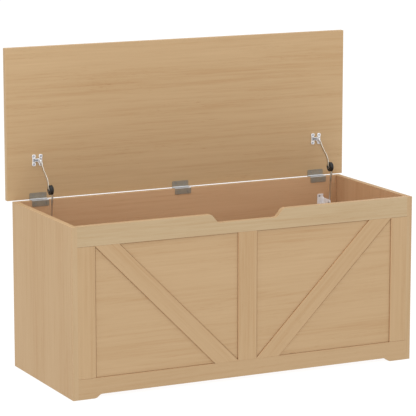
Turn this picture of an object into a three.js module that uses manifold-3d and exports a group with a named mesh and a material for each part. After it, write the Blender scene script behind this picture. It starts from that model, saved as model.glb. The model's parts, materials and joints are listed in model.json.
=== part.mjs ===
// Wooden toy box with a lift-up lid: a panel-built chest with a framed, cross-braced front,
// three wrap-over butt hinges and two articulated lid stays. The lid is modelled fully open.
// Millimetres, +X to the right, +Y to the back, +Z up. The origin is on the floor, in the
// middle of the footprint of the chest with its lid standing open.
import * as THREE from 'three';
import { mergeVertices } from 'three/addons/utils/BufferGeometryUtils.js';
import Module from 'manifold-3d';

// ---------------------------------------------------------------- driving dimensions
const BODY_W = 975;            // outside width of the chest
const BODY_D = 395;            // outside depth of the chest
const BODY_H = 441;            // height of the chest without the lid
const BOARD = 15;              // thickness of every board
const GAP = 0.3;               // clearance between touching pieces

const LID_W = 1000;            // lid width, 12.5 mm overhang at each end
const LID_L = 400;             // lid depth
const LID_T = 15;              // lid thickness
const LID_GAP = 3.0;           // gap between chest and closed lid, filled by the hinge leaves

const BOTTOM_Z = 34;           // underside of the floor board
const BACK_RAISE = 10;         // the back board stops short of the floor

const SIDE_IN = BODY_W / 2 - BOARD;      // inner face of the side boards
const STILE_IN = 424.5;        // inner edge of the outer stiles
const CENTER_HALF = 26.6;      // half width of the centre stile
const RAIL_TOP_Z = 388.8;      // lower edge of the top rail
const RAIL_BOT_Z = 52.5;       // upper edge of the bottom rail
const FRAME_T = 3.0;           // thickness of the pieces laid over the infill
const INFILL_T = 11.7;         // thickness of the infill board
const REBATE = 10;             // depth of the rebate that holds the infill
const BRACE_END = 65.5;        // horizontal length of a brace's cut end

const FOOT_IN = 430;           // where a foot starts to rise
const FOOT_UP = 405.5;         // where it meets the raised edge
const FOOT_H = 10;             // height of the toe gap
const NOTCH_TOP = 108;         // half width of the hand notch at the top edge
const NOTCH_BOT = 79;          // half width at its floor
const NOTCH_H = 22.5;          // depth of the hand notch

const PIVOT_Y = BODY_D + 1;    // lid hinge axis
const PIVOT_Z = BODY_H + 1;
const KNUCKLE_R = 2.6;
const KNUCKLE_BORE = 1.5;
const PIN_R = 1.3;
const RELIEF_R = 3.0;          // round relief in the boards at each knuckle
const LEAF_W = 48;
const LEAF_T = 1.0;
const LEAF_DROP = 15.6;        // how far a leaf reaches down the back board
const LEAF_RISE = 18;          // how far a leaf reaches up the lid
const HINGE_X = [-414, -1, 414];
const HINGE_SIDE = ['left', 'center', 'right'];

const LID_FACE_Y = PIVOT_Y + LID_GAP - 1;    // inner face of the open lid
const LID_BASE_Z = PIVOT_Z + 0.2;            // lower edge of the open lid

const STAY_X = [-415, 415];    // middle of each lid bracket
const STAY_SIDE = ['left', 'right'];
const UPPER_PIVOT = [385, 543.5];            // Y, Z of the joint on the lid
const ELBOW = [333, 475];                    // Y, Z of the joint between the arms
const LOWER_PIVOT = [PIVOT_Y + ELBOW[0] - UPPER_PIVOT[0], PIVOT_Z + ELBOW[1] - UPPER_PIVOT[1]];
const ARM_W = 8;
const ARM_T = 1.6;
const UPPER_ARM_X = 4.0;       // inner face of the upper arm, from the bracket's middle
const LOWER_ARM_X = 15.4;      // inner face of the lower arm
const DRUM_R = 13;             // friction drum at the elbow
const RIVET_R = 2.1;

const SCREW_HEAD_R = 2.7;
const SCREW_R = 1.5;
const SCREW_L = 11;

const Y_SHIFT = -(LID_FACE_Y + LID_T) / 2;   // centres the footprint on the origin

// ---------------------------------------------------------------- solid helpers
const wasm = await Module();
wasm.setup();

function toSolid(geometry) {
  let g = geometry.clone();
  g.deleteAttribute('normal');
  g.deleteAttribute('uv');
  g = mergeVertices(g, 1e-4);
  return new wasm.Manifold(new wasm.Mesh({
    numProp: 3,
    vertProperties: new Float32Array(g.attributes.position.array),
    triVerts: new Uint32Array(g.index.array),
  }));
}

function toGeometry(solid) {
  const m = solid.getMesh();
  const g = new THREE.BufferGeometry();
  g.setAttribute('position', new THREE.BufferAttribute(new Float32Array(m.vertProperties), 3));
  g.setIndex(new THREE.BufferAttribute(new Uint32Array(m.triVerts), 1));
  g.computeVertexNormals();
  return g;
}

// A box from its low and high corners.
function block(x0, x1, y0, y1, z0, z1) {
  const g = new THREE.BoxGeometry(x1 - x0, y1 - y0, z1 - z0);
  g.translate((x0 + x1) / 2, (y0 + y1) / 2, (z0 + z1) / 2);
  return g;
}

// A flat outline in X and Z, given a thickness along Y.
function plateXZ(shape, y0, y1, curveSegments = 8) {
  const g = new THREE.ExtrudeGeometry(shape, { depth: y1 - y0, bevelEnabled: false, curveSegments });
  g.rotateX(Math.PI / 2);        // shape Y becomes Z, depth runs towards -Y
  g.translate(0, y1, 0);
  return g;
}

// A flat outline in Y and Z, given a thickness along X.
function plateYZ(shape, x0, x1, curveSegments = 8) {
  const g = new THREE.ExtrudeGeometry(shape, { depth: x1 - x0, bevelEnabled: false, curveSegments });
  g.applyMatrix4(new THREE.Matrix4().set(0, 0, 1, x0, 1, 0, 0, 0, 0, 1, 0, 0, 0, 0, 0, 1));
  return g;
}

// A turned piece about an axis along +X through (y, z): points are [x, radius].
function turnX(points, y, z, segments = 16) {
  const g = new THREE.LatheGeometry(points.map(([x, r]) => new THREE.Vector2(r, x)), segments);
  g.rotateZ(-Math.PI / 2);       // lathe Y becomes X
  g.translate(0, y, z);
  return g;
}

// A turned piece about an axis along Y through (x, z): points are [y, radius].
function turnY(points, x, z, segments = 16) {
  const g = new THREE.LatheGeometry(points.map(([y, r]) => new THREE.Vector2(r, y)), segments);
  g.translate(x, 0, z);
  return g;
}

const rodX = (x0, x1, r, y, z, n = 16) => turnX([[x0, 0], [x0, r], [x1, r], [x1, 0]], y, z, n);

function polygon(points) {
  const s = new THREE.Shape();
  points.forEach(([x, y], i) => (i ? s.lineTo(x, y) : s.moveTo(x, y)));
  s.closePath();
  return s;
}

// ---------------------------------------------------------------- materials
const oak = (hex) => new THREE.MeshStandardMaterial({ color: hex, roughness: 0.6, metalness: 0 });
const OAK = oak('#c4a77f');
const OAK_LID = oak('#bd9c70');
const OAK_IN = oak('#b08a5e');
const STEEL = new THREE.MeshStandardMaterial({ color: '#a9a9ab', roughness: 0.35, metalness: 1 });
const ZINC = new THREE.MeshStandardMaterial({ color: '#c9cbd0', roughness: 0.4, metalness: 0.9 });
const BLACK = new THREE.MeshStandardMaterial({ color: '#15130f', roughness: 0.5, metalness: 0 });

const model = new THREE.Group();
model.position.y = Y_SHIFT;

function put(name, geometry, material, group = model) {
  const mesh = new THREE.Mesh(geometry, material);
  mesh.name = name;
  group.add(mesh);
  return mesh;
}

// ---------------------------------------------------------------- fasteners
// Countersunk wood screws. Each is [name, x, y of the head's face, z, direction of the point in Y].
const screws = [];
// Body leaf: heads face the front, on the inner face of the back board.
// Lid leaf and lid bracket: heads face the front, on the inner face of the open lid.
HINGE_X.forEach((hx, i) => {
  for (const [tag, dx] of [['a', -14], ['b', 14]]) {
    screws.push([`hinge_screw_${HINGE_SIDE[i]}_body_${tag}`, hx + dx, BODY_D - BOARD - GAP - LEAF_T, BODY_H - 8.6]);
    screws.push([`hinge_screw_${HINGE_SIDE[i]}_lid_${tag}`, hx + dx, LID_FACE_Y - GAP - LEAF_T, PIVOT_Z + 10.6]);
  }
});
const LID_PLATE_T = 2.0;
const LOBE_X = 10;
const LOBE_Z = 10.6;
const BODY_PLATE_T = 1.8;
const BODY_SCREW_Z = 13;
STAY_X.forEach((sx, i) => {
  const y = LID_FACE_Y - GAP - LID_PLATE_T;
  const cz = UPPER_PIVOT[1] + 1.5;
  [[-1, 1, 'a'], [1, 1, 'b'], [-1, -1, 'c'], [1, -1, 'd']].forEach(([ux, uz, tag]) => {
    screws.push([`stay_screw_${STAY_SIDE[i]}_lid_${tag}`, sx + ux * LOBE_X, y, cz + uz * LOBE_Z]);
  });
  for (const [tag, dz] of [['a', BODY_SCREW_Z], ['b', -BODY_SCREW_Z]]) {
    screws.push([`stay_screw_${STAY_SIDE[i]}_body_${tag}`, sx + 3, BODY_D - BOARD - GAP - BODY_PLATE_T, LOWER_PIVOT[1] + dz]);
  }
});

const screwGeometry = ([, x, y, z]) => turnY([
  [y, 0], [y, SCREW_HEAD_R], [y + 0.3, SCREW_HEAD_R], [y + 1.5, SCREW_R], [y + SCREW_L, SCREW_R], [y + SCREW_L + 1.6, 0],
], x, z, 12);
// What a screw needs cleared in a plate and in the board behind it.
const screwClearance = ([, x, y, z]) => toSolid(turnY([
  [y - 1, 0], [y - 1, SCREW_HEAD_R + 0.3], [y + 0.3, SCREW_HEAD_R + 0.3], [y + 1.6, SCREW_R + 0.25],
  [y + SCREW_L + 2.4, SCREW_R + 0.25], [y + SCREW_L + 2.4, 0],
], x, z, 12));

function drill(solid, filter) {
  for (const s of screws.filter(filter)) solid = solid.subtract(screwClearance(s));
  return solid;
}

// ---------------------------------------------------------------- carcass
put('side_panel_left', block(-BODY_W / 2, -SIDE_IN, 0, BODY_D, 0, BODY_H), OAK);
put('side_panel_right', block(SIDE_IN, BODY_W / 2, 0, BODY_D, 0, BODY_H), OAK);
put('bottom_panel', block(-SIDE_IN + GAP, SIDE_IN - GAP, BOARD + GAP, BODY_D - BOARD - GAP, BOTTOM_Z, BOTTOM_Z + BOARD), OAK_IN);

const knuckleRelief = (hx) => toSolid(rodX(hx - LEAF_W / 2 - 0.4, hx + LEAF_W / 2 + 0.4, RELIEF_R, PIVOT_Y, PIVOT_Z, 20));

let back = toSolid(block(-SIDE_IN + GAP, SIDE_IN - GAP, BODY_D - BOARD, BODY_D, BACK_RAISE, BODY_H));
for (const hx of HINGE_X) back = back.subtract(knuckleRelief(hx));
back = drill(back, (s) => s[0].includes('_body_'));
put('back_panel', toGeometry(back), OAK_IN);

// ---------------------------------------------------------------- front frame
const railX = SIDE_IN - GAP;

// Top rail: a hand notch with soft S-shaped ends, and a rebate for the infill behind its lower edge.
const topRail = new THREE.Shape();
topRail.moveTo(-railX, RAIL_TOP_Z);
topRail.lineTo(railX, RAIL_TOP_Z);
topRail.lineTo(railX, BODY_H);
topRail.lineTo(NOTCH_TOP, BODY_H);
topRail.bezierCurveTo(NOTCH_TOP - 13, BODY_H, NOTCH_BOT + 12, BODY_H - NOTCH_H, NOTCH_BOT, BODY_H - NOTCH_H);
topRail.lineTo(-NOTCH_BOT, BODY_H - NOTCH_H);
topRail.bezierCurveTo(-NOTCH_BOT - 12, BODY_H - NOTCH_H, -NOTCH_TOP + 13, BODY_H, -NOTCH_TOP, BODY_H);
topRail.lineTo(-railX, BODY_H);
topRail.closePath();
put('front_top_rail', toGeometry(toSolid(plateXZ(topRail, 0, BOARD, 10)).subtract(
  toSolid(block(-STILE_IN - REBATE, STILE_IN + REBATE, FRAME_T, BOARD + 1, RAIL_TOP_Z - 1, RAIL_TOP_Z + REBATE)))), OAK);

// Bottom rail: cut away along its middle, so that it stands on a foot at each end.
const botRail = new THREE.Shape();
botRail.moveTo(-railX, 0);
botRail.lineTo(-FOOT_IN, 0);
botRail.bezierCurveTo(-FOOT_IN + 13, 0, -FOOT_UP - 13, FOOT_H, -FOOT_UP, FOOT_H);
botRail.lineTo(FOOT_UP, FOOT_H);
botRail.bezierCurveTo(FOOT_UP + 13, FOOT_H, FOOT_IN - 13, 0, FOOT_IN, 0);
botRail.lineTo(railX, 0);
botRail.lineTo(railX, RAIL_BOT_Z);
botRail.lineTo(-railX, RAIL_BOT_Z);
botRail.closePath();
put('front_bottom_rail', toGeometry(toSolid(plateXZ(botRail, 0, BOARD, 10)).subtract(
  toSolid(block(-STILE_IN - REBATE, STILE_IN + REBATE, FRAME_T, BOARD + 1, RAIL_BOT_Z - REBATE, RAIL_BOT_Z + 1)))), OAK);

// Outer stiles, rebated like the rails.
for (const [side, s] of [['left', -1], ['right', 1]]) {
  const lo = Math.min(s * railX, s * STILE_IN);
  const hi = Math.max(s * railX, s * STILE_IN);
  const cutLo = Math.min(s * (STILE_IN - 1), s * (STILE_IN + REBATE));
  const cutHi = Math.max(s * (STILE_IN - 1), s * (STILE_IN + REBATE));
  put(`front_stile_${side}`, toGeometry(
    toSolid(block(lo, hi, 0, BOARD, RAIL_BOT_Z + GAP, RAIL_TOP_Z - GAP)).subtract(
      toSolid(block(cutLo, cutHi, FRAME_T, BOARD + 1, RAIL_BOT_Z - 1, RAIL_TOP_Z + 1)))), OAK);
}

// Infill board, held in the rebates all round.
put('front_infill_panel', block(
  -STILE_IN - REBATE + GAP, STILE_IN + REBATE - GAP, FRAME_T + GAP, FRAME_T + GAP + INFILL_T,
  RAIL_BOT_Z - REBATE + GAP, RAIL_TOP_Z + REBATE - GAP), OAK);

// Centre stile and the two braces, laid over the infill.
put('front_center_stile', block(-CENTER_HALF, CENTER_HALF, 0, FRAME_T, RAIL_BOT_Z + GAP, RAIL_TOP_Z - GAP), OAK);
for (const [side, s] of [['left', -1], ['right', 1]]) {
  const out = STILE_IN - GAP, inn = CENTER_HALF + GAP, top = RAIL_TOP_Z - GAP, bot = RAIL_BOT_Z + GAP;
  const pts = [[out, top], [out - BRACE_END, top], [inn, bot + 0.8], [inn, bot], [inn + BRACE_END, bot]]
    .map(([x, z]) => [s * x, z]);
  put(`front_brace_${side}`, plateXZ(polygon(s < 0 ? pts.reverse() : pts), 0, FRAME_T), OAK);
}

// ---------------------------------------------------------------- lid, standing open
let lid = toSolid(block(-LID_W / 2, LID_W / 2, LID_FACE_Y, LID_FACE_Y + LID_T, LID_BASE_Z, LID_BASE_Z + LID_L));
for (const hx of HINGE_X) lid = lid.subtract(knuckleRelief(hx));
lid = drill(lid, (s) => s[0].includes('_lid_'));
put('lid_panel', toGeometry(lid), OAK_LID);

// ---------------------------------------------------------------- hinges
const KN = 7.2;                // half length of the middle knuckle
HINGE_X.forEach((hx, i) => {
  const side = HINGE_SIDE[i];
  const x0 = hx - LEAF_W / 2, x1 = hx + LEAF_W / 2;
  const inY = BODY_D - BOARD - GAP;            // rear face of the leaf's inner flange
  const bore = toSolid(rodX(x0 - 1, x1 + 1, KNUCKLE_BORE, PIVOT_Y, PIVOT_Z, 20));

  // Body leaf: over the top edge of the back board and down its inner face.
  let body = toSolid(block(x0, x1, inY - LEAF_T, PIVOT_Y - 0.5, BODY_H + GAP, BODY_H + GAP + LEAF_T))
    .add(toSolid(block(x0, x1, inY - LEAF_T, inY, BODY_H - LEAF_DROP, BODY_H + GAP + LEAF_T)))
    .subtract(toSolid(block(hx - KN - GAP, hx + KN + GAP, PIVOT_Y - RELIEF_R - 0.2, PIVOT_Y + 5, BODY_H - 5, BODY_H + 8)))
    .add(toSolid(rodX(x0, hx - KN - GAP, KNUCKLE_R, PIVOT_Y, PIVOT_Z, 20)))
    .add(toSolid(rodX(hx + KN + GAP, x1, KNUCKLE_R, PIVOT_Y, PIVOT_Z, 20)))
    .subtract(bore);
  body = drill(body, (s) => s[0].startsWith(`hinge_screw_${side}_body_`));
  put(`hinge_body_leaf_${side}`, toGeometry(body), STEEL);

  // Lid leaf: up the inner face of the open lid.
  let lidLeaf = toSolid(block(x0, x1, LID_FACE_Y - GAP - LEAF_T, LID_FACE_Y - GAP, PIVOT_Z, BODY_H + LEAF_RISE))
    .subtract(toSolid(block(x0 - 1, hx - KN, PIVOT_Y - 5, PIVOT_Y + 5, PIVOT_Z - 5, PIVOT_Z + RELIEF_R + 0.2)))
    .subtract(toSolid(block(hx + KN, x1 + 1, PIVOT_Y - 5, PIVOT_Y + 5, PIVOT_Z - 5, PIVOT_Z + RELIEF_R + 0.2)))
    .add(toSolid(rodX(hx - KN, hx + KN, KNUCKLE_R, PIVOT_Y, PIVOT_Z, 20)))
    .subtract(bore);
  lidLeaf = drill(lidLeaf, (s) => s[0].startsWith(`hinge_screw_${side}_lid_`));
  put(`hinge_lid_leaf_${side}`, toGeometry(lidLeaf), STEEL);

  put(`hinge_pin_${side}`, rodX(x0 - 0.2, x1 + 0.2, PIN_R, PIVOT_Y, PIVOT_Z, 16), STEEL);
});

// ---------------------------------------------------------------- lid stays
// A bar with rounded ends along a centre line in Y and Z, with a bore at each end.
function bar(points, width, x0, x1, bore) {
  const curve = new THREE.CatmullRomCurve3(points.map(([y, z]) => new THREE.Vector3(y, z, 0)), false, 'centripetal');
  const n = 10;
  const left = [], right = [];
  for (let i = 0; i <= n; i++) {
    const p = curve.getPointAt(i / n), t = curve.getTangentAt(i / n);
    left.push([p.x - t.y * width / 2, p.y + t.x * width / 2]);
    right.push([p.x + t.y * width / 2, p.y - t.x * width / 2]);
  }
  let s = toSolid(plateYZ(polygon([...right, ...left.reverse()]), x0, x1));
  for (const [y, z] of [points[0], points[points.length - 1]]) {
    s = s.add(toSolid(rodX(x0, x1, width / 2 + 0.8, y, z, 20)));
  }
  for (const [y, z] of [points[0], points[points.length - 1]]) {
    s = s.subtract(toSolid(rodX(x0 - 1, x1 + 1, bore, y, z, 20)));
  }
  return toGeometry(s);
}

STAY_X.forEach((sx, i) => {
  const side = STAY_SIDE[i];
  const [ay, az] = UPPER_PIVOT, [ey, ez] = ELBOW, [by, bz] = LOWER_PIVOT;

  // Lid bracket: an H-shaped foot with four round lobes and an ear for the upper pivot.
  const plateY1 = LID_FACE_Y - GAP, plateY0 = plateY1 - LID_PLATE_T;
  const cz = az + 1.5;
  let bracket = toSolid(block(sx - LOBE_X, sx + LOBE_X, plateY0, plateY1, cz - 4.2, cz + 4.2));
  for (const ux of [-1, 1]) {
    bracket = bracket.add(toSolid(block(sx + ux * LOBE_X - 3.9, sx + ux * LOBE_X + 3.9, plateY0, plateY1, cz - LOBE_Z, cz + LOBE_Z)));
    for (const uz of [-1, 1]) {
      bracket = bracket.add(toSolid(turnY([[plateY0, 0], [plateY0, 4.6], [plateY1, 4.6], [plateY1, 0]], sx + ux * LOBE_X, cz + uz * LOBE_Z, 20)));
    }
  }
  bracket = bracket
    .add(toSolid(block(sx + 1.4, sx + 3.4, ay, plateY1, az - 6, az + 6)))
    .add(toSolid(rodX(sx + 1.4, sx + 3.4, 6, ay, az, 20)))
    .subtract(toSolid(rodX(sx, sx + 5, RIVET_R + 0.3, ay, az, 20)));
  bracket = drill(bracket, (s) => s[0].startsWith(`stay_screw_${side}_lid_`));
  put(`stay_lid_bracket_${side}`, toGeometry(bracket), ZINC);

  put(`stay_upper_rivet_${side}`, turnX([
    [sx - 0.4, 0], [sx - 0.4, 3.4], [sx + 1.1, 3.4], [sx + 1.1, RIVET_R], [sx + 5.9, RIVET_R], [sx + 5.9, 3.4], [sx + 7.4, 3.4], [sx + 7.4, 0],
  ], ay, az), ZINC);

  put(`stay_upper_arm_${side}`, bar([[ay, az], [366.5, 521.5], [348.5, 507], [338.5, 495], [ey, ez]], ARM_W, sx + UPPER_ARM_X, sx + UPPER_ARM_X + ARM_T, RIVET_R + 0.35), ZINC);

  // Elbow: a friction drum turned with the shank and heads that carry both arms.
  put(`stay_elbow_drum_${side}`, turnX([
    [sx + 2.4, 0], [sx + 2.4, 3.6], [sx + 3.6, 3.6], [sx + 3.6, RIVET_R], [sx + 6.1, RIVET_R], [sx + 6.1, DRUM_R - 1], [sx + 7.1, DRUM_R],
    [sx + 14, DRUM_R], [sx + 15, DRUM_R - 1], [sx + 15, RIVET_R], [sx + 17.4, RIVET_R], [sx + 17.4, 3.6], [sx + 18.6, 3.6], [sx + 18.6, 0],
  ], ey, ez, 28), BLACK);

  put(`stay_lower_arm_${side}`, bar([[by, bz], [340.5, 425], [ey, ez]], ARM_W + 1, sx + LOWER_ARM_X, sx + LOWER_ARM_X + ARM_T, RIVET_R + 0.35), ZINC);

  // Body bracket: a foot on the back board with an ear that carries the lower pivot.
  const footY1 = BODY_D - BOARD - GAP, footY0 = footY1 - BODY_PLATE_T;
  let foot = toSolid(block(sx - 3.5, sx + 15, footY0, footY1, bz - 19, bz + 19))
    .add(toSolid(block(sx + 13.2, sx + 15, by, footY1, bz - 8, bz + 8)))
    .add(toSolid(rodX(sx + 13.2, sx + 15, 8, by, bz, 20)))
    .subtract(toSolid(rodX(sx + 12, sx + 16, RIVET_R + 0.3, by, bz, 20)));
  foot = drill(foot, (s) => s[0].startsWith(`stay_screw_${side}_body_`));
  put(`stay_body_bracket_${side}`, toGeometry(foot), ZINC);

  put(`stay_lower_rivet_${side}`, turnX([
    [sx + 11.4, 0], [sx + 11.4, 3.4], [sx + 12.9, 3.4], [sx + 12.9, RIVET_R], [sx + 17.3, RIVET_R], [sx + 17.3, 3.4], [sx + 18.8, 3.4], [sx + 18.8, 0],
  ], by, bz), ZINC);
});

for (const s of screws) put(s[0], screwGeometry(s), ZINC);

export default model;
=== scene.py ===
import json
import math
import bmesh
import bpy
from mathutils import Matrix, Vector


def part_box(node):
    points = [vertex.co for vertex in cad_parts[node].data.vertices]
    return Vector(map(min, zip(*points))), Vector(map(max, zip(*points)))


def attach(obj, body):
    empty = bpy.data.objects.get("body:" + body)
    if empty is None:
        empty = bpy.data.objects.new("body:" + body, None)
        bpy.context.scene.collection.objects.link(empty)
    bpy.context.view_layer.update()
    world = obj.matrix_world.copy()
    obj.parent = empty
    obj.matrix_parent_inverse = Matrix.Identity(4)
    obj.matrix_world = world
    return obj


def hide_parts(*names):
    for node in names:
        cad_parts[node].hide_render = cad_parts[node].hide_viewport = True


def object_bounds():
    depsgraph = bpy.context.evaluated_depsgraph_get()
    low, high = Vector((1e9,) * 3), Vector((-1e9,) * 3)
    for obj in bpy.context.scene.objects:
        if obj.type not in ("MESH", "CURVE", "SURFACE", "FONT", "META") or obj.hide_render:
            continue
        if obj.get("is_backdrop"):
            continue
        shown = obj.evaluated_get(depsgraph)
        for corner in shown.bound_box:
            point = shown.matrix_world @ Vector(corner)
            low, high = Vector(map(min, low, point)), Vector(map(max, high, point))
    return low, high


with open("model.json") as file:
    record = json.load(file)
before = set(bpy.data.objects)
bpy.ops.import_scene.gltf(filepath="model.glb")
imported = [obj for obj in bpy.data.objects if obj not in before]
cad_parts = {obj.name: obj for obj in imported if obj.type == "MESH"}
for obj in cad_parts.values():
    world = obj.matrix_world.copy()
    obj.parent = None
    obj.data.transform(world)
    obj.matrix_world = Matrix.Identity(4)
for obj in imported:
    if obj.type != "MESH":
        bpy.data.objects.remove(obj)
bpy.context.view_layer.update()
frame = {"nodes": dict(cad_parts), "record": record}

NODES = frame["nodes"]
BODY_OF = {n: b for b, names in frame["record"]["behaviour"]["bodies"].items() for n in names}
COL = bpy.context.scene.collection
MM = 0.001

# ------------------------------------------------------------------ camera
cam_data = bpy.data.cameras.new("camera")
cam_data.sensor_width = 36.0
cam_data.lens = 200.26
cam = bpy.data.objects.new("camera", cam_data)
COL.objects.link(cam)
front_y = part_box("front_top_rail")[0].y
cam.location = (-2.6532, front_y - 5.1524, 1.5240)
cam.rotation_euler = (math.radians(90) - 0.1833, 0.0, -0.4580)
cam_data.clip_end = 100.0
bpy.context.scene.camera = cam

# ------------------------------------------------------------------ light, floor
world = bpy.data.worlds.new("studio")
bpy.context.scene.world = world
world.use_nodes = True
wn = world.node_tree.nodes
wn["Background"].inputs["Color"].default_value = (1.0, 1.0, 1.0, 1.0)
wn["Background"].inputs["Strength"].default_value = 1.0


def area(name, loc, target, size, power, colour=(1, 1, 1)):
    d = bpy.data.lights.new(name, "AREA")
    d.shape = "RECTANGLE"
    d.size, d.size_y = size
    d.energy = power
    d.color = colour
    o = bpy.data.objects.new(name, d)
    COL.objects.link(o)
    o.location = loc
    o.rotation_euler = (Vector(target) - Vector(loc)).to_track_quat("-Z", "Y").to_euler()
    return o


area("key", (-1.1, -0.55, 2.9), (0.15, 0.1, 0.4), (2.2, 1.6), 22.0)
area("fill", (1.5, -0.7, 3.0), (0, 0.1, 0.5), (2.0, 1.6), 7.0)

bpy.context.scene.view_settings.view_transform = "Standard"
bpy.context.scene.view_settings.look = "None"

fm = bpy.data.materials.new("studio_floor")
fm.use_nodes = True
fb = fm.node_tree.nodes["Principled BSDF"]
fb.inputs["Base Color"].default_value = (0.13, 0.13, 0.13, 1)
fb.inputs["Roughness"].default_value = 0.9
fb.inputs["Specular IOR Level"].default_value = 0.0
fb.inputs["Emission Color"].default_value = (1, 1, 1, 1)
fb.inputs["Emission Strength"].default_value = 0.93
me = bpy.data.meshes.new("studio_floor")
R = 60.0
me.from_pydata([(-R, -R, -0.0002), (R, -R, -0.0002), (R, R, -0.0002), (-R, R, -0.0002)], [], [(0, 1, 2, 3)])
floor = bpy.data.objects.new("studio_floor", me)
floor.data.materials.append(fm)
COL.objects.link(floor)
floor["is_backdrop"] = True


# ------------------------------------------------------------------ materials
def new_mat(name):
    m = bpy.data.materials.new(name)
    m.use_nodes = True
    nt = m.node_tree
    return m, nt, nt.nodes["Principled BSDF"]


def add(nt, kind, **props):
    n = nt.nodes.new(kind)
    for k, v in props.items():
        setattr(n, k, v)
    return n


def math_node(nt, op, a, b=None, clamp=False):
    n = add(nt, "ShaderNodeMath", operation=op, use_clamp=clamp)
    for i, v in enumerate((a, b)):
        if v is None:
            continue
        if isinstance(v, (int, float)):
            n.inputs[i].default_value = v
        else:
            nt.links.new(v, n.inputs[i])
    return n.outputs[0]


def remap(nt, value, a, b, c, d, smooth=False):
    n = add(nt, "ShaderNodeMapRange", clamp=True)
    if smooth:
        n.interpolation_type = "SMOOTHSTEP"
    nt.links.new(value, n.inputs["Value"])
    for k, v in zip(("From Min", "From Max", "To Min", "To Max"), (a, b, c, d)):
        n.inputs[k].default_value = v
    return n.outputs["Result"]


def ramp(nt, fac, stops):
    n = add(nt, "ShaderNodeValToRGB")
    cr = n.color_ramp
    while len(cr.elements) < len(stops):
        cr.elements.new(0.5)
    for e, (p, c) in zip(cr.elements, stops):
        e.position = p
        e.color = (*c, 1)
    nt.links.new(fac, n.inputs["Fac"])
    return n.outputs["Color"]


def srgb(r, g, b):
    f = lambda v: v / 12.92 if v <= 0.04045 else ((v + 0.055) / 1.055) ** 2.4
    return tuple(f(v / 255.0) for v in (r, g, b))


def mul(c, k):
    k = (k, k, k) if isinstance(k, (int, float)) else k
    return tuple(a * b for a, b in zip(c, k))


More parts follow.
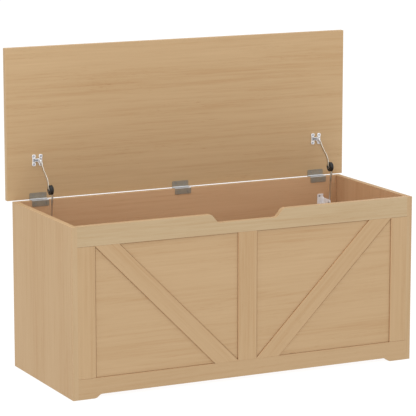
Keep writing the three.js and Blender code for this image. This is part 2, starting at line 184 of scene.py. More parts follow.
def wood(name, base, rot=(0, 0, 0), seed=(0.0, 0.0, 0.0), figure=1.0, fibre=1.0, contrast=1.0, rough=0.56):
    """Light oak foil: grain runs along local X after the rotation."""
    m, nt, bsdf = new_mat(name)
    tc = add(nt, "ShaderNodeTexCoord")
    turn = add(nt, "ShaderNodeMapping", vector_type="POINT")
    turn.inputs["Rotation"].default_value = rot
    turn.inputs["Location"].default_value = seed
    nt.links.new(tc.outputs["Object"], turn.inputs["Vector"])

    def noise(scale, s=1.0, detail=2.0, rough_=0.5, dist=0.0, vec=None):
        mp = add(nt, "ShaderNodeMapping", vector_type="POINT")
        mp.inputs["Scale"].default_value = scale
        nt.links.new(vec or turn.outputs["Vector"], mp.inputs["Vector"])
        n = add(nt, "ShaderNodeTexNoise")
        n.inputs["Scale"].default_value = s
        n.inputs["Detail"].default_value = detail
        n.inputs["Roughness"].default_value = rough_
        n.inputs["Distortion"].default_value = dist
        nt.links.new(mp.outputs["Vector"], n.inputs["Vector"])
        return n.outputs["Fac"]

    # slow bands of tone along the board
    tone = remap(nt, noise((1.1, 13, 13), detail=3), 0.3, 0.7, -1, 1)
    # flame figure: contour lines of a long, slow field
    field = noise((1.15, 11.0, 11.0), detail=1.6, rough_=0.40, dist=0.20)
    rings = math_node(nt, "FRACT", math_node(nt, "MULTIPLY", field, 17.0))
    line = math_node(nt, "SUBTRACT", remap(nt, rings, 0.0, 0.78, 0.0, 1.0), remap(nt, rings, 0.78, 1.0, 0.0, 1.0))
    where = remap(nt, noise((2.3, 7, 7), detail=1), 0.40, 0.64, 0.15, 1.0)
    flame = math_node(nt, "MULTIPLY", math_node(nt, "SUBTRACT", line, 0.5), where)
    # streaks a few millimetres wide, and hair-fine fibres
    streak = remap(nt, noise((3.0, 150, 150), detail=3.0, rough_=0.58), 0.25, 0.75, -1, 1)
    hair = remap(nt, noise((16, 620, 620), detail=2), 0.25, 0.75, -1, 1)
    # short dark pores
    dash = remap(nt, noise((11, 330, 330), detail=2.5, rough_=0.55), 0.56, 0.70, 0, 1)
    group = remap(nt, noise((2.6, 24, 24), detail=1.5), 0.47, 0.66, 0, 1)
    dash = math_node(nt, "MULTIPLY", dash, group)
    pore = remap(nt, noise((42, 900, 900), detail=1), 0.63, 0.75, 0, 1)
    patch = remap(nt, noise((3.0, 30, 30), detail=1), 0.42, 0.66, 0, 1)
    pore = math_node(nt, "MULTIPLY", pore, patch)

    f = math_node(nt, "ADD", 0.5, math_node(nt, "MULTIPLY", tone, 0.10 * contrast))
    f = math_node(nt, "SUBTRACT", f, math_node(nt, "MULTIPLY", flame, 0.075 * figure * contrast))
    f = math_node(nt, "ADD", f, math_node(nt, "MULTIPLY", streak, 0.15 * fibre * contrast))
    f = math_node(nt, "ADD", f, math_node(nt, "MULTIPLY", hair, 0.08 * fibre * contrast))
    f = math_node(nt, "SUBTRACT", f, math_node(nt, "MULTIPLY", dash, 0.13 * figure * contrast))
    f = math_node(nt, "SUBTRACT", f, math_node(nt, "MULTIPLY", pore, 0.26 * contrast), clamp=True)
    colour = ramp(nt, f, [
        (0.0, mul(base, (0.74, 0.60, 0.48))),
        (0.30, mul(base, (0.92, 0.86, 0.80))),
        (0.5, base),
        (0.75, mul(base, (1.06, 1.075, 1.10))),
        (1.0, mul(base, (1.13, 1.16, 1.22)))])
    nt.links.new(colour, bsdf.inputs["Base Color"])
    nt.links.new(remap(nt, f, 0.2, 0.8, rough + 0.07, rough - 0.05), bsdf.inputs["Roughness"])
    bsdf.inputs["Specular IOR Level"].default_value = 0.18
    h = math_node(nt, "SUBTRACT", math_node(nt, "MULTIPLY", hair, 0.35), pore)
    h = math_node(nt, "ADD", h, math_node(nt, "MULTIPLY", streak, 0.2))
    bump = add(nt, "ShaderNodeBump")
    bump.inputs["Strength"].default_value = 0.35
    bump.inputs["Distance"].default_value = 0.00012
    nt.links.new(h, bump.inputs["Height"])
    nt.links.new(bump.outputs["Normal"], bsdf.inputs["Normal"])
    return m


def metal(name, base, rough=0.34, brush=(1, 1, 1), contrast=1.0, metallic=1.0):
    """Plated steel with fine brushing, faint spangle and small scuffs."""
    m, nt, bsdf = new_mat(name)
    tc = add(nt, "ShaderNodeTexCoord")

    def noise(scale, detail, dist=0.0):
        mp = add(nt, "ShaderNodeMapping", vector_type="POINT")
        mp.inputs["Scale"].default_value = scale
        nt.links.new(tc.outputs["Object"], mp.inputs["Vector"])
        n = add(nt, "ShaderNodeTexNoise")
        n.inputs["Scale"].default_value = 1.0
        n.inputs["Detail"].default_value = detail
        n.inputs["Distortion"].default_value = dist
        nt.links.new(mp.outputs["Vector"], n.inputs["Vector"])
        return n.outputs["Fac"]

    brushed = noise(tuple(900 * b for b in brush), 3)
    cloud = noise((70, 70, 70), 3, 0.6)
    scuff = remap(nt, noise((260, 260, 260), 4, 1.5), 0.60, 0.72, 0, 1)
    f = math_node(nt, "ADD", math_node(nt, "MULTIPLY", brushed, 0.45), math_node(nt, "MULTIPLY", cloud, 0.55))
    f = math_node(nt, "SUBTRACT", f, math_node(nt, "MULTIPLY", scuff, 0.12 * contrast), clamp=True)
    colour = ramp(nt, f, [(0.22, mul(base, 0.80)), (0.5, base), (0.78, mul(base, 1.12))])
    nt.links.new(colour, bsdf.inputs["Base Color"])
    bsdf.inputs["Metallic"].default_value = metallic
    nt.links.new(remap(nt, f, 0.2, 0.8, rough + 0.10, rough - 0.06), bsdf.inputs["Roughness"])
    bump = add(nt, "ShaderNodeBump")
    bump.inputs["Strength"].default_value = 0.25
    bump.inputs["Distance"].default_value = 0.00005
    nt.links.new(f, bump.inputs["Height"])
    nt.links.new(bump.outputs["Normal"], bsdf.inputs["Normal"])
    return m


def plastic(name, base, rough=0.45):
    """Moulded black plastic with a fine spark-eroded texture and slight handling polish."""
    m, nt, bsdf = new_mat(name)
    tc = add(nt, "ShaderNodeTexCoord")
    outs = []
    for sc, det in ((1400, 2), (110, 3)):
        n = add(nt, "ShaderNodeTexNoise")
        n.inputs["Scale"].default_value = sc
        n.inputs["Detail"].default_value = det
        nt.links.new(tc.outputs["Object"], n.inputs["Vector"])
        outs.append(n.outputs["Fac"])
    colour = ramp(nt, outs[1], [(0.3, mul(base, 0.8)), (0.7, mul(base, 1.35))])
    nt.links.new(colour, bsdf.inputs["Base Color"])
    nt.links.new(remap(nt, outs[1], 0.3, 0.7, rough - 0.08, rough + 0.08), bsdf.inputs["Roughness"])
    bump = add(nt, "ShaderNodeBump")
    bump.inputs["Strength"].default_value = 0.3
    bump.inputs["Distance"].default_value = 0.00005
    nt.links.new(outs[0], bump.inputs["Height"])
    nt.links.new(bump.outputs["Normal"], bsdf.inputs["Normal"])
    return m


OAK = srgb(187, 156.5, 119)
RAIL_T = srgb(187, 163, 128.5)
RAIL_B = srgb(184.5, 154.5, 117.5)
# The side panels take a darker copy of the oak: painted shade that offsets the stronger key light on them
SIDE_SHADED = srgb(184.5, 154, 116)
CUT_BOUNCE_TINT = srgb(204, 159, 117)                # sides of the frame boards that face the infill: the redder tone is painted reddish bounce light from the recesses
Z_UP = (0, math.radians(90), 0)          # turns Z onto the grain axis
MATS = {}


def oak(key, base=OAK, **kw):
    if key not in MATS:
        MATS[key] = wood("oak_" + key, base, **kw)
    return MATS[key]


lo_b, hi_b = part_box("front_brace_left")
BRACE_ANGLE = math.atan2(hi_b.z - lo_b.z, (hi_b.x - lo_b.x) - 0.0655)

# Inner faces of the box: a lighter, redder copy of the oak, painted light and reddish bounce that lift the shaded
# inside
INSIDE_PAINTED_BOUNCE = srgb(201, 163, 125)
# The lid takes a lighter copy of the oak: painted light that lifts its face, which gets less light than the front
LID_BASE_LIFTED = srgb(191, 160.5, 121.5)
side_l = oak("side_left", base=SIDE_SHADED, rot=Z_UP, seed=(0.3, 1.7, 0.2), figure=0.5)
side_r = oak("side_right", base=SIDE_SHADED, rot=Z_UP, seed=(2.3, 4.1, 0.9), figure=0.5)
edge_v = oak("edge_upright", base=srgb(187, 159, 123), rot=Z_UP, seed=(1.3, 2.7, 5.2), figure=0.2)
edge_h = oak("edge_level", seed=(5.3, 2.2, 1.2), figure=0.2)
edge_d = oak("edge_deep", rot=(0, 0, math.radians(90)), seed=(5.3, 2.2, 1.2), figure=0.2)
worn = oak("edge_worn", base=mul(OAK, (1.05, 1.06, 1.08)), seed=(1.9, 8.2, 0.7), figure=0.1, rough=0.66)
stile_l = oak("stile_left", rot=Z_UP, seed=(4.3, 0.7, 3.2), figure=0.35)
stile_r = oak("stile_right", rot=Z_UP, seed=(7.3, 1.1, 2.4), figure=0.35)
stile_c = oak("stile_center", rot=Z_UP, seed=(3.1, 6.7, 8.2), figure=0.35)
rail_t = oak("rail_top", base=RAIL_T, seed=(6.3, 3.7, 1.2), figure=0.45)
rail_b = oak("rail_bottom", base=RAIL_B, seed=(0.9, 8.7, 4.4), figure=0.45)
# frame-board sides, tinted with painted reddish bounce light
cut_bounce_h = oak("cut_level", base=CUT_BOUNCE_TINT, seed=(0.4, 6.1, 2.8), figure=0.1)
cut_bounce_v = oak("cut_upright", base=CUT_BOUNCE_TINT, rot=Z_UP, seed=(5.4, 1.1, 0.8), figure=0.1)
infill = oak("infill", seed=(2.9, 5.7, 7.1), figure=1.0)
brace_l = oak("brace_left", rot=(0, -BRACE_ANGLE, 0), seed=(1.9, 3.3, 6.6), figure=0.4)
brace_r = oak("brace_right", rot=(0, BRACE_ANGLE, 0), seed=(8.9, 1.3, 2.6), figure=0.4)
lid_m = oak("lid", base=LID_BASE_LIFTED, seed=(3.7, 9.7, 0.4), figure=0.72)
# inner faces: the lighter, redder base is painted light and bounce
inner = oak("inner", base=INSIDE_PAINTED_BOUNCE, seed=(9.1, 0.7, 3.3), figure=0.6)
inner_v = oak("inner_side", base=INSIDE_PAINTED_BOUNCE, rot=Z_UP, seed=(4.1, 2.7, 6.3), figure=0.6)

STEEL = metal("hinge_steel", srgb(153, 144, 128), rough=0.52, brush=(0.06, 1, 1), metallic=0.45)
# A lighter, fully metallic copy of the hinge steel for the bend, the top flange and the knuckles: painted highlight
# where they face up to the light
BRIGHT = metal("hinge_worn_bend", srgb(205, 207, 210), rough=0.42, brush=(0.06, 1, 1))
PIN = metal("hinge_pin", srgb(176, 178, 182), rough=0.30, brush=(0.06, 1, 1))
DULL = metal("hinge_screw_zinc", srgb(150, 147, 140), rough=0.45, metallic=0.6)
GREY = metal("stay_pressed_steel", srgb(148, 151, 156), rough=0.46, metallic=0.35)
# Stay brackets: zinc plating with its base pushed almost to white, partly painted light that lifts the brackets where
# little light reaches
ZINC_LIFTED = metal("stay_zinc", srgb(246, 247, 249), rough=0.44, brush=(1, 1, 1), metallic=0.25)
ARM = metal("stay_arm", srgb(219, 216, 208), rough=0.34, brush=(1, 0.2, 0.2))
SCREW = metal("screw_zinc", srgb(198, 202, 210), rough=0.36)
BLACK = plastic("drum_black", (0.0090, 0.0084, 0.0078))


# ------------------------------------------------------------------ mesh helpers
def link(name, me):
    o = bpy.data.objects.new(name, me)
    COL.objects.link(o)
    return o


def from_bm(name, bm, mats, smooth_angle=28):
    me = bpy.data.meshes.new(name)
    bmesh.ops.recalc_face_normals(bm, faces=bm.faces)
    bm.to_mesh(me)
    bm.free()
    for m in mats:
        me.materials.append(m)
    me.shade_smooth()
    me.set_sharp_from_angle(angle=math.radians(smooth_angle))
    o = link(name, me)
    wn_mod = o.modifiers.new("weighted", "WEIGHTED_NORMAL")
    wn_mod.mode = "FACE_AREA"
    wn_mod.weight = 50
    wn_mod.keep_sharp = True
    return o


def settle(o, node):
    """The piece stands for its CAD node, rides on the node's body and hides the CAD node it replaces."""
    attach(o, BODY_OF[node])
    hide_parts(node)
    return o


def refined(node, mats, bevel, keep=lambda e: True, segments=2, edge_mat=None, face_mat=None,
            close=()):
    """The CAD board with its flat faces merged and its edges eased. close names the sides
    (such as x+ or z-) that butt against a neighbour with no visible joint."""
    bm = bmesh.new()
    bm.from_mesh(NODES[node].data)
    bmesh.ops.remove_doubles(bm, verts=bm.verts, dist=2e-6)
    bmesh.ops.dissolve_limit(bm, angle_limit=math.radians(0.6), verts=bm.verts, edges=bm.edges)
    lo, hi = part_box(node)
    butt = []
    for c in close:
        k = "xyz".index(c[0])
        butt.append((k, (hi if c[1] == "+" else lo)[k], 1 if c[1] == "+" else -1))
    on_butt = {v: [b for b in butt if abs(v.co[b[0]] - b[1]) < 2e-5] for v in bm.verts}
    for f in bm.faces:
        f.material_index = face_mat(f) if face_mat else 0
    edges = []
    for e in bm.edges:
        if len(e.link_faces) != 2 or e.calc_face_angle(0) <= math.radians(32) or not keep(e):
            continue
        if any(b in on_butt[e.verts[1]] for b in on_butt[e.verts[0]]):
            continue
        edges.append(e)
    for v, bs in on_butt.items():
        for k, _, s in bs:
            v.co[k] += s * 0.00026
    if edges and bevel:
        bmesh.ops.bevel(bm, geom=edges, offset=bevel, offset_type="OFFSET", segments=segments, profile=0.5,
                        affect="EDGES", clamp_overlap=True, material=-1 if edge_mat is None else edge_mat)
    return settle(from_bm("board_" + node, bm, mats), node)


def elen(e):
    return (e.verts[0].co - e.verts[1].co).length


# Long edges only: leaves the screw holes and hinge reliefs as they are.
board_edges = lambda e: elen(e) > 0.010 and not 0.0482 < elen(e) < 0.0494

# ------------------------------------------------------------------ boards
EASE = 0.0008
is_level = lambda f: abs(f.normal.z) > 0.9
for node, mat, s in (("side_panel_left", side_l, 1), ("side_panel_right", side_r, -1)):
    # the outer face, upright edges, level edges, the inner face and the eased corners
    lo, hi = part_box(node)
    inside_x = hi.x if s > 0 else lo.x
    front_in = lambda e, x=inside_x, y=lo.y: all(abs(v.co.x - x) < 2e-5 and abs(v.co.y - y) < 2e-5 for v in e.verts)
    refined(node, [mat, edge_v, edge_d, inner_v, worn], EASE, keep=lambda e, t=front_in: not t(e), edge_mat=4,
            face_mat=lambda f, s=s: (3 if f.normal.x * s > 0 else 0) if abs(f.normal.x) > 0.9 else (2 if is_level(f) else 1))
refined("back_panel", [inner, edge_h, rail_b], EASE, keep=board_edges,
        face_mat=lambda f: 1 if is_level(f) else (2 if f.normal.y > 0.9 else 0))
refined("bottom_panel", [inner], EASE)
refined("front_top_rail", [rail_t, edge_h, inner, cut_bounce_h], 0.0006, close=("x-", "x+"),
        face_mat=lambda f: 1 if f.normal.z > 0.3 else (3 if f.normal.z < -0.9 else (2 if f.normal.y > 0.9 else 0)))
refined("front_bottom_rail", [rail_b, inner, cut_bounce_h], 0.0006, close=("x-", "x+"),
        face_mat=lambda f: 1 if f.normal.y > 0.9 else (2 if f.normal.z > 0.9 else 0))
refined("front_stile_left", [stile_l, inner, cut_bounce_v], 0.0006, close=("x-",),
        face_mat=lambda f: 1 if f.normal.y > 0.9 else (2 if f.normal.x > 0.9 else 0))
refined("front_stile_right", [stile_r, inner, cut_bounce_v], 0.0006, close=("x+",),
        face_mat=lambda f: 1 if f.normal.y > 0.9 else (2 if f.normal.x < -0.9 else 0))
on_side = lambda f: 1 if abs(f.normal.y) < 0.5 else 0
refined("front_center_stile", [stile_c, cut_bounce_v], 0.0003, close=("z-", "z+"), face_mat=on_side)
refined("front_brace_left", [brace_l, cut_bounce_h], 0.0003, close=("x-", "x+", "z-", "z+"), face_mat=on_side)
refined("front_brace_right", [brace_r, cut_bounce_h], 0.0003, close=("x-", "x+", "z-", "z+"), face_mat=on_side)
refined("lid_panel", [lid_m, edge_h, edge_v, worn], EASE, keep=board_edges, edge_mat=3,
        face_mat=lambda f: 1 if abs(f.normal.z) > 0.9 else (2 if abs(f.normal.x) > 0.9 else 0))


# ------------------------------------------------------------------ hardware shapes, in millimetres
def offset_loop(pts, d):
    """Moves a closed outline d to its left: into the material of an outline that runs
    anticlockwise, and of a hole that runs clockwise."""
    out = []
    n = len(pts)
    for i in range(n):
        p0, p1, p2 = (Vector(pts[j % n]) for j in (i - 1, i, i + 1))
        a, b = (p1 - p0).normalized(), (p2 - p1).normalized()
        na, nb = Vector((-a.y, a.x)), Vector((-b.y, b.x))
        out.append(p1 + (na + nb) * (d / max(0.15, 1 + na.dot(nb))))
    return out


def rounded(corners, seg=6):
    """A closed outline from (u, v, radius) corners."""
    out = []
    n = len(corners)
    for i in range(n):
        p0, p1, p2 = (Vector(corners[j % n][:2]) for j in (i - 1, i, i + 1))
        r = corners[i][2]
        a, b = (p0 - p1), (p2 - p1)
        la, lb = a.length, b.length
        a.normalize()
        b.normalize()
        half = math.acos(max(-1, min(1, a.dot(b)))) / 2
        if r <= 0 or half > math.pi / 2 - 0.01:
            out.append(p1)
            continue
        cut = min(r / math.tan(half), la * 0.499, lb * 0.499)
        s, e = p1 + a * cut, p1 + b * cut
        for k in range(seg + 1):
            t = k / seg
            # a circular arc, by its tangent points and corner
            w = 2 * t * (1 - t) * math.sin(half)
            out.append((s * (1 - t) ** 2 + p1 * w + e * t ** 2) / ((1 - t) ** 2 + w + t ** 2))
    return [p for i, p in enumerate(out) if (p - out[i - 1]).length > 1e-4]


def hole(u, v, r, n=20):
    return [Vector((u + r * math.cos(-2 * math.pi * i / n), v + r * math.sin(-2 * math.pi * i / n))) for i in range(n)]


def plate(bm, loops, t, b, place, mat=0):
    """A flat plate with eased rims: the first loop is its outline, the rest are holes."""
    prof = [(0, b), (0.3 * b, 0.3 * b), (b, 0), (t - b, 0), (t - 0.3 * b, 0.3 * b), (t, b)]
    caps = ([], [])
    made = []
    for loop in loops:
        rings = [[bm.verts.new(place(p.x, p.y, w)) for p in offset_loop(loop, inset)] for w, inset in prof]
        n = len(loop)
        for r0, r1 in zip(rings, rings[1:]):
            for i in range(n):
                made.append(bm.faces.new((r0[i], r0[(i + 1) % n], r1[(i + 1) % n], r1[i])))
        for k, r in ((0, rings[0]), (1, rings[-1])):
            caps[k].extend(bm.edges.get((r[i], r[(i + 1) % n])) for i in range(n))
    for es in caps:
        made += [g for g in bmesh.ops.triangle_fill(bm, use_beauty=True, edges=es)["geom"] if isinstance(g, bmesh.types.BMFace)]
    for f in made:
        f.material_index = mat
    return made


def turned(bm, prof, place, n=32, ribs=None, mat=0):
    """A turned piece: prof runs along the axis as (w, radius) and ends on the axis, or closes
    on itself when it is a tube."""
    rings = []
    for k, (w, r) in enumerate(prof):
        if r < 1e-6:
            rings.append([bm.verts.new(place(0, 0, w))])
            continue
        rings.append([bm.verts.new(place((r + (ribs(i, k) if ribs else 0)) * math.cos(2 * math.pi * i / n),
                                         (r + (ribs(i, k) if ribs else 0)) * math.sin(2 * math.pi * i / n), w)) for i in range(n)])
    pairs = list(zip(rings, rings[1:]))
    if len(rings[0]) > 1 and len(rings[-1]) > 1:
        pairs.append((rings[-1], rings[0]))
    for r0, r1 in pairs:
        for i in range(n):
            j = (i + 1) % n
            if len(r0) == 1:
                f = bm.faces.new((r0[0], r1[j], r1[i]))
            elif len(r1) == 1:
                f = bm.faces.new((r0[i], r0[j], r1[0]))
            else:
                f = bm.faces.new((r0[i], r0[j], r1[j], r1[i]))
            f.material_index = mat


def tube_profile(w0, w1, r0, r1, b=0.2):
    """Closed section of a tube with eased ends."""
    return [(w0 + b, r1), (w1 - b, r1), (w1, r1 - b), (w1, r0 + b), (w1 - b, r0), (w0 + b, r0), (w0, r0 + b), (w0, r1 - b)]


def finish_piece(name, bm, mats, node, angle=32):
    bmesh.ops.scale(bm, vec=(MM, MM, MM), verts=bm.verts)
    return settle(from_bm(name, bm, mats, smooth_angle=angle), node)


def mm_box(node):
    lo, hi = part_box(node)
    return lo / MM, hi / MM


# ------------------------------------------------------------------ infill of the front
# The board's face stands between the strips, with a narrow groove along each of them.
ilo, ihi = mm_box("front_infill_panel")
slo, shi = mm_box("front_stile_left")
clo, chi = mm_box("front_center_stile")
GROOVE_D, BRACE_CUT = 0.8, 65.5


def groove_width(n):
    """Groove beside the strip that lies towards n: wider on the sides that a strip overhangs to the left or above."""
    return max(0.4, 0.85 - 1.48 * n.x + 0.62 * n.y)


def inset(pts):
    """An anticlockwise outline with each side moved in by its groove's width."""
    lines = []
    for a, b in zip(pts, pts[1:] + pts[:1]):
        d = (b - a).normalized()
        out = Vector((d.y, -d.x))
        lines.append((a - out * groove_width(out), d))
    res = []
    for (p, d), (q, e) in zip(lines[-1:] + lines[:-1], lines):
        r = q - p
        res.append(p + d * ((r.x * e.y - r.y * e.x) / (d.x * e.y - d.y * e.x)))
    return res


bm = bmesh.new()
plate(bm, [[Vector(p) for p in ((ilo.x, ilo.z), (ihi.x, ilo.z), (ihi.x, ihi.z), (ilo.x, ihi.z))]], ihi.y - ilo.y - GROOVE_D, 0.2,
      lambda u, v, w: Vector((u, ilo.y + GROOVE_D + w, v)))
z0, z1 = clo.z, chi.z
out_x, in_x = -shi.x, chi.x
for s in (-1, 1):
    upper = [(s * (out_x - BRACE_CUT), z1), (s * in_x, z1), (s * in_x, z0 + 1.1)]
    lower = [(s * out_x, z1 - 1.1), (s * (in_x + BRACE_CUT), z0), (s * out_x, z0)]
    for tri in (upper, lower):
        pts = [Vector(p) for p in tri]
        turn = sum(a.x * b.y - b.x * a.y for a, b in zip(pts, pts[1:] + pts[:1]))
        if turn < 0:
            pts.reverse()
        plate(bm, [inset(pts)], GROOVE_D + 0.3, 0.3, lambda u, v, w: Vector((u, ilo.y + w, v)))
for f in bm.faces:
    if f.normal.length == 0:
        f.normal_update()
finish_piece("board_front_infill_panel", bm, [infill], "front_infill_panel", angle=28)


# ------------------------------------------------------------------ screws
def screw(bm, x, y, z, head=2.7, turn=0.0):
    """Countersunk cross-head wood screw: face at y, point towards +Y."""
    c, s = math.cos(turn), math.sin(turn)
    at = lambda u, v, w: Vector((x + u * c - v * s, y + w, z + u * s + v * c))
    disc = [Vector((head * math.cos(2 * math.pi * i / 28), head * math.sin(2 * math.pi * i / 28))) for i in range(28)]
    a, b = 0.36, 1.55
    cross = [(a, a), (b, a * 0.7), (b, -a * 0.7), (a, -a), (a * 0.7, -b), (-a * 0.7, -b), (-a, -a), (-b, -a * 0.7),
             (-b, a * 0.7), (-a, a), (-a * 0.7, b), (a * 0.7, b)]
    plate(bm, [disc, [Vector(p) for p in cross]], 0.62, 0.10, at)
    prof = [(0.56, 0), (0.56, head - 0.18), (0.66, head - 0.16), (1.55, 1.5)]
    w = 2.4
    while w < 10.6:
        prof += [(w, 1.15), (w + 0.30, 1.5), (w + 0.40, 1.5), (w + 0.70, 1.15)]
        w += 1.15
    prof += [(11.2, 1.0), (12.5, 0)]
    turned(bm, prof, at, n=20)


for k, node in enumerate(sorted(n for n in NODES if "_screw_" in n)):
    lo, hi = mm_box(node)
    bm = bmesh.new()
    screw(bm, (lo.x + hi.x) / 2, lo.y, (lo.z + hi.z) / 2, turn=(k * 137.5 % 90) * math.pi / 180)
    finish_piece("cross_head_" + node, bm, [DULL if node.startswith("hinge") else SCREW], node)

# ------------------------------------------------------------------ hinges
for side in ("left", "center", "right"):
    plo, phi = mm_box("hinge_pin_" + side)
    ax_y, ax_z = (plo.y + phi.y) / 2, (plo.z + phi.z) / 2
    blo, bhi = mm_box("hinge_body_leaf_" + side)
    llo, lhi = mm_box("hinge_lid_leaf_" + side)
    hx = (blo.x + bhi.x) / 2
    x0, x1 = blo.x, bhi.x
    kn, gap, t = 7.2, 0.3, 1.0
    along = lambda u, v, w: Vector((w, ax_y + u, ax_z + v))
    b_screws = [mm_box(f"hinge_screw_{side}_body_{k}") for k in "ab"]
    l_screws = [mm_box(f"hinge_screw_{side}_lid_{k}") for k in "ab"]
    mid = lambda b: ((b[0].x + b[1].x) / 2, (b[0].z + b[1].z) / 2)

    # Body leaf: a flange down the back board's inner face, a bend, and a flange over its top.
    bm = bmesh.new()
    y_in, top = blo.y, ax_z - 1 + gap + t
    bend = 1.3
    down = rounded([(x0, top - bend, 0), (x0, blo.z, 3.2), (x1, blo.z, 3.2), (x1, top - bend, 0)])
    plate(bm, [down] + [hole(*mid(b), 2.85, 24) for b in b_screws], t, 0.22, lambda u, v, w: Vector((u, y_in + w, v)))
    n = 6
    arcs = []
    for r in (bend, bend - t):
        arcs.append([(y_in + bend - r * math.cos(k / n * math.pi / 2), top - bend + r * math.sin(k / n * math.pi / 2)) for k in range(n + 1)])
    strip = [Vector(p) for p in arcs[0]] + [Vector(p) for p in reversed(arcs[1])]
    # the bend, the flange over the top and the knuckles take the lighter steel, a painted highlight
    plate(bm, [strip[::-1]], x1 - x0, 0.15, lambda u, v, w: Vector((x0 + w, u, v)), mat=1)
    y_end = ax_y - 0.5
    cut = ax_y - 3.2
    over = [(x0, y_in + bend), (x1, y_in + bend), (x1, y_end), (hx + kn + gap, y_end), (hx + kn + gap, cut),
            (hx - kn - gap, cut), (hx - kn - gap, y_end), (x0, y_end)]
    plate(bm, [[Vector(p) for p in over]], t, 0.15, lambda u, v, w: Vector((u, v, top - t + w)), mat=1)
    for a, b in ((x0, hx - kn - gap), (hx + kn + gap, x1)):
        turned(bm, tube_profile(a, b, 1.5, 2.6), along, n=28, mat=1)
    finish_piece("hinge_body_plate_" + side, bm, [STEEL, BRIGHT], "hinge_body_leaf_" + side)

    # Lid leaf: up the lid's inner face, curled round the pin in the middle.
    bm = bmesh.new()
    y_lo = lhi.y - t if lhi.y - t > llo.y else llo.y
    y_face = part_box(f"hinge_screw_{side}_lid_a")[0].y / MM
    up = rounded([(x0, ax_z + 3.2, 0), (hx - kn, ax_z + 3.2, 0), (hx - kn, ax_z, 0), (hx + kn, ax_z, 0), (hx + kn, ax_z + 3.2, 0),
                  (x1, ax_z + 3.2, 0), (x1, lhi.z, 3.2), (x0, lhi.z, 3.2)])
    plate(bm, [up] + [hole(*mid(b), 2.85, 24) for b in l_screws], t, 0.22, lambda u, v, w: Vector((u, y_face + w, v)))
    turned(bm, tube_profile(hx - kn, hx + kn, 1.5, 2.6), along, n=28, mat=1)
    finish_piece("hinge_lid_plate_" + side, bm, [STEEL, BRIGHT], "hinge_lid_leaf_" + side)

    bm = bmesh.new()
    turned(bm, [(plo.x, 0), (plo.x, 0.9), (plo.x + 0.25, 1.3), (phi.x - 0.25, 1.3), (phi.x, 0.9), (phi.x, 0)], along, n=24)
    finish_piece("hinge_steel_pin_" + side, bm, [PIN], "hinge_pin_" + side)


# ------------------------------------------------------------------ lid stays
def smooth_line(points, per=8):
    """Catmull-Rom line through the points."""
    pts = [Vector(p) for p in points]
    ext = [pts[0] * 2 - pts[1]] + pts + [pts[-1] * 2 - pts[-2]]
    out = []
    for i in range(1, len(ext) - 2):
        p0, p1, p2, p3 = ext[i - 1:i + 3]
        for k in range(per):
            t = k / per
            out.append(0.5 * ((2 * p1) + (p2 - p0) * t + (2 * p0 - 5 * p1 + 4 * p2 - p3) * t * t + (3 * p1 - p0 - 3 * p2 + p3) * t ** 3))
    out.append(pts[-1])
    return out


def bar_outline(points, width, eye):
    """A strip of the given width along a line, with a round eye at each end."""
    line = smooth_line(points)
    n = len(line)
    left, right = [], []
    length = [0.0]
    for a, b in zip(line, line[1:]):
        length.append(length[-1] + (b - a).length)
    total = length[-1]
    for i, p in enumerate(line):
        if length[i] < eye * 0.9 or total - length[i] < eye * 0.9:
            continue
        t = (line[min(i + 1, n - 1)] - line[max(i - 1, 0)]).normalized()
        nrm = Vector((-t.y, t.x))
        left.append(p + nrm * width / 2)
        right.append(p - nrm * width / 2)

    def cap(centre, outward, start, stop):
        a0 = math.atan2(start.y - centre.y, start.x - centre.x)
        a1 = math.atan2(stop.y - centre.y, stop.x - centre.x)
        while a1 <= a0:
            a1 += 2 * math.pi
        return [centre + Vector((math.cos(a0 + (a1 - a0) * k / 18), math.sin(a0 + (a1 - a0) * k / 18))) * eye for k in range(1, 18)]

    # right side forwards, round the far eye, left side back, round the near eye: anticlockwise
    return right + cap(line[-1], None, right[-1], left[-1]) + left[::-1] + cap(line[0], None, left[0], right[0])


def rivet_head(bm, x_out, x_in, r, at, mat=0):
    """A domed head between x_out, its crown, and x_in, its flat side, on a shank axis."""
    d = x_in - x_out
    prof = [(x_out, 0)]
    for k in range(1, 5):
        a = k / 4 * math.pi / 2
        prof.append((x_out + d * 0.8 * (1 - math.cos(a)), r * math.sin(a)))
    prof += [(x_in, r), (x_in, 0)]
    turned(bm, prof, at, n=24, mat=mat)


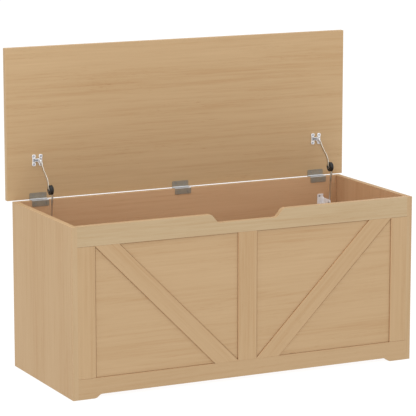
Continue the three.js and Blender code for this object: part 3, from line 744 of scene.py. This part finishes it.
for side in ("left", "right"):
    lo, hi = mm_box("stay_lid_bracket_" + side)
    sx, cz = (lo.x + hi.x) / 2, (lo.z + hi.z) / 2
    face = mm_box(f"stay_screw_{side}_lid_a")[0].y          # front of the bracket's foot
    rlo, rhi = mm_box("stay_upper_rivet_" + side)
    py, pz = (rlo.y + rhi.y) / 2, (rlo.z + rhi.z) / 2
    dlo, dhi = mm_box("stay_elbow_drum_" + side)
    ey, ez = (dlo.y + dhi.y) / 2, (dlo.z + dhi.z) / 2
    qlo, qhi = mm_box("stay_lower_rivet_" + side)
    by, bz = (qlo.y + qhi.y) / 2, (qlo.z + qhi.z) / 2

    # Lid bracket: H-shaped foot, raised pads round the screws, an ear bent out of its middle.
    bm = bmesh.new()
    quarter = [(14.6, 15.2, 5.0), (4.4, 15.2, 4.8), (4.4, 8.8, 2.2), (5.8, 6.8, 1.6), (5.8, 4.0, 1.6)]
    waist = [(13.6, 4.6, 4.0), (14.6, 8.6, 2.4)]
    H = quarter + [(-u, v, r) for u, v, r in reversed(quarter)] + [(-u, v, r) for u, v, r in reversed(waist)] \
        + [(-u, -v, r) for u, v, r in waist] + [(-u, -v, r) for u, v, r in quarter] \
        + [(u, -v, r) for u, v, r in reversed(quarter)] + [(u, -v, r) for u, v, r in reversed(waist)] + waist
    foot = lambda u, v, w: Vector((sx + u, face + w, cz + v))
    holes = [hole(10 * ux, 10.6 * uz, 2.9, 24) for ux in (-1, 1) for uz in (-1, 1)]
    plate(bm, [rounded(H, 8)] + holes, 2.0, 0.45, foot)
    for ux in (-1, 1):
        for uz in (-1, 1):
            ring = lambda u, v, w, ux=ux, uz=uz: Vector((sx + 10 * ux + u, face + w, cz + 10.6 * uz + v))
            turned(bm, [(-0.28, 3.15), (-0.28, 3.75), (0.1, 4.15), (0.5, 4.15), (0.5, 3.0), (0.0, 3.0)], ring, n=28)
    # pressed web between the two bars
    web = rounded([(-11.6, -5.0, 2.0), (-8.4, -5.0, 1.6), (-6.0, -2.5, 1.6), (6.0, -2.5, 1.6), (8.4, -5.0, 1.6), (11.6, -5.0, 2.0),
                   (11.6, 5.0, 2.0), (8.4, 5.0, 1.6), (6.0, 2.5, 1.6), (-6.0, 2.5, 1.6), (-8.4, 5.0, 1.6), (-11.6, 5.0, 2.0)], 4)
    plate(bm, [web], 0.9, 0.3, lambda u, v, w: Vector((sx + u, face - 0.55 + w, cz + v)), mat=1)
    ear = []
    ear_r = 5.8
    for k in range(17):
        a = math.pi / 2 + math.pi * k / 16
        ear.append(Vector((py + ear_r * math.cos(a), pz + ear_r * math.sin(a))))
    ear = [Vector((face + 1.2, pz + ear_r + 1.0)), Vector((face - 1.2, pz + ear_r + 0.1))] + ear + \
          [Vector((face - 1.2, pz - ear_r - 0.1)), Vector((face + 1.2, pz - ear_r - 1.0))]
    plate(bm, [ear, hole(py, pz, 2.35, 24)], 2.0, 0.35, lambda u, v, w: Vector((sx + 1.4 + w, u, v)))
    finish_piece("stay_h_bracket_" + side, bm, [ZINC_LIFTED, GREY], "stay_lid_bracket_" + side)

    # Rivets: a dome at each end of a plain shank.
    for name, node, (alo, ahi), (y, z), slot in (("upper", "stay_upper_rivet_", (rlo, rhi), (py, pz), "stay_steel"),
                                                ("lower", "stay_lower_rivet_", (qlo, qhi), (by, bz), "stay_steel")):
        bm = bmesh.new()
        at = lambda u, v, w, y=y, z=z: Vector((w, y + u, z + v))
        rivet_head(bm, alo.x, alo.x + 1.5, 3.4, at)
        rivet_head(bm, ahi.x, ahi.x - 1.5, 3.4, at)
        turned(bm, [(alo.x + 1.2, 0), (alo.x + 1.2, 2.05), (ahi.x - 1.2, 2.05), (ahi.x - 1.2, 0)], at, n=24)
        finish_piece(f"stay_domed_{name}_rivet_{side}", bm, [SCREW], node + side)

    # Arms: flat strips with rounded rims and an eye at each end.
    for name, node, pts, width, eye, mats in (
            ("upper", "stay_upper_arm_", [(py, pz), (py - 18.5, pz - 22), (py - 36.5, pz - 36.5), (py - 46.5, pz - 48.5), (ey, ez)], 8.0, 4.8, [ARM]),
            ("lower", "stay_lower_arm_", [(by, bz), (by - 3.5, bz + 51.5), (ey, ez)], 9.0, 5.3, [ARM])):
        alo, ahi = mm_box(node + side)
        bm = bmesh.new()
        outline = bar_outline(pts, width, eye)
        area2 = sum(a.x * b.y - b.x * a.y for a, b in zip(outline, outline[1:] + outline[:1]))
        if area2 < 0:
            outline = outline[::-1]
        plate(bm, [outline, hole(*pts[0], 2.4, 24), hole(*pts[-1], 2.4, 24)], ahi.x - alo.x, 0.4,
              lambda u, v, w, x=alo.x: Vector((x + w, u, v)))
        finish_piece(f"stay_{name}_link_{side}", bm, mats, node + side)

    # Elbow: ribbed friction drum with a stepped cap, and the shank, with a domed head at each end, that carries the
    # arms.
    bm = bmesh.new()
    at = lambda u, v, w: Vector((w, ey + u, ez + v))
    R_D = (dhi.y - dlo.y) / 2
    a, b = sx + 6.1, sx + 15.0
    prof = [(a, 0), (a, 2.1), (a, 5.2), (a + 0.35, 5.6), (a + 0.35, R_D - 2.6), (a, R_D - 2.3), (a, R_D - 1.2), (a + 0.5, R_D - 0.35), (a + 1.2, R_D),
            (a + 1.6, R_D - 0.05), (a + 1.9, R_D - 0.35), (b - 1.9, R_D - 0.35), (b - 1.6, R_D - 0.05), (b - 1.2, R_D),
            (b - 0.5, R_D - 0.35), (b, R_D - 1.2), (b, R_D - 2.3), (b - 0.35, R_D - 2.6), (b - 0.35, 5.6), (b, 5.2), (b, 2.1), (b, 0)]
    turned(bm, prof, at, n=96, ribs=lambda i, k: (-0.45 if (i // 2) % 2 else 0.0) if k in (10, 11) else 0.0)
    turned(bm, [(sx + 2.6, 0), (sx + 2.6, 2.05), (sx + 18.4, 2.05), (sx + 18.4, 0)], at, n=24)
    rivet_head(bm, sx + 2.4, sx + 3.6, 3.6, at)
    rivet_head(bm, sx + 18.6, sx + 17.4, 3.6, at)
    finish_piece("stay_friction_drum_" + side, bm, [BLACK], "stay_elbow_drum_" + side, angle=36)

    # Body bracket: a foot with rounded corners on the back board and a round ear.
    lo, hi = mm_box("stay_body_bracket_" + side)
    f0 = mm_box(f"stay_screw_{side}_body_a")[0].y
    bm = bmesh.new()
    foot = rounded([(lo.x, lo.z, 4), (hi.x, lo.z, 1.2), (hi.x, hi.z, 1.2), (lo.x, hi.z, 4)], 6)
    scr = [mm_box(f"stay_screw_{side}_body_{k}") for k in "ab"]
    plate(bm, [foot] + [hole((s[0].x + s[1].x) / 2, (s[0].z + s[1].z) / 2, 2.9, 24) for s in scr], hi.y - f0, 0.4,
          lambda u, v, w: Vector((u, f0 + w, v)))
    ear = [Vector((by + 7.8 * math.cos(math.pi / 2 + math.pi * k / 18), bz + 7.8 * math.sin(math.pi / 2 + math.pi * k / 18))) for k in range(19)]
    ear = [Vector((f0 + 1.0, bz + 12)), Vector((f0 - 3, bz + 8.4))] + ear + [Vector((f0 - 3, bz - 8.4)), Vector((f0 + 1.0, bz - 12))]
    plate(bm, [ear, hole(by, bz, 2.35, 24)], 1.8, 0.35, lambda u, v, w: Vector((sx + 13.2 + w, u, v)))
    finish_piece("stay_wall_bracket_" + side, bm, [ZINC_LIFTED], "stay_body_bracket_" + side)

# ------------------------------------------------------------------ overall bounds
lo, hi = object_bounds()
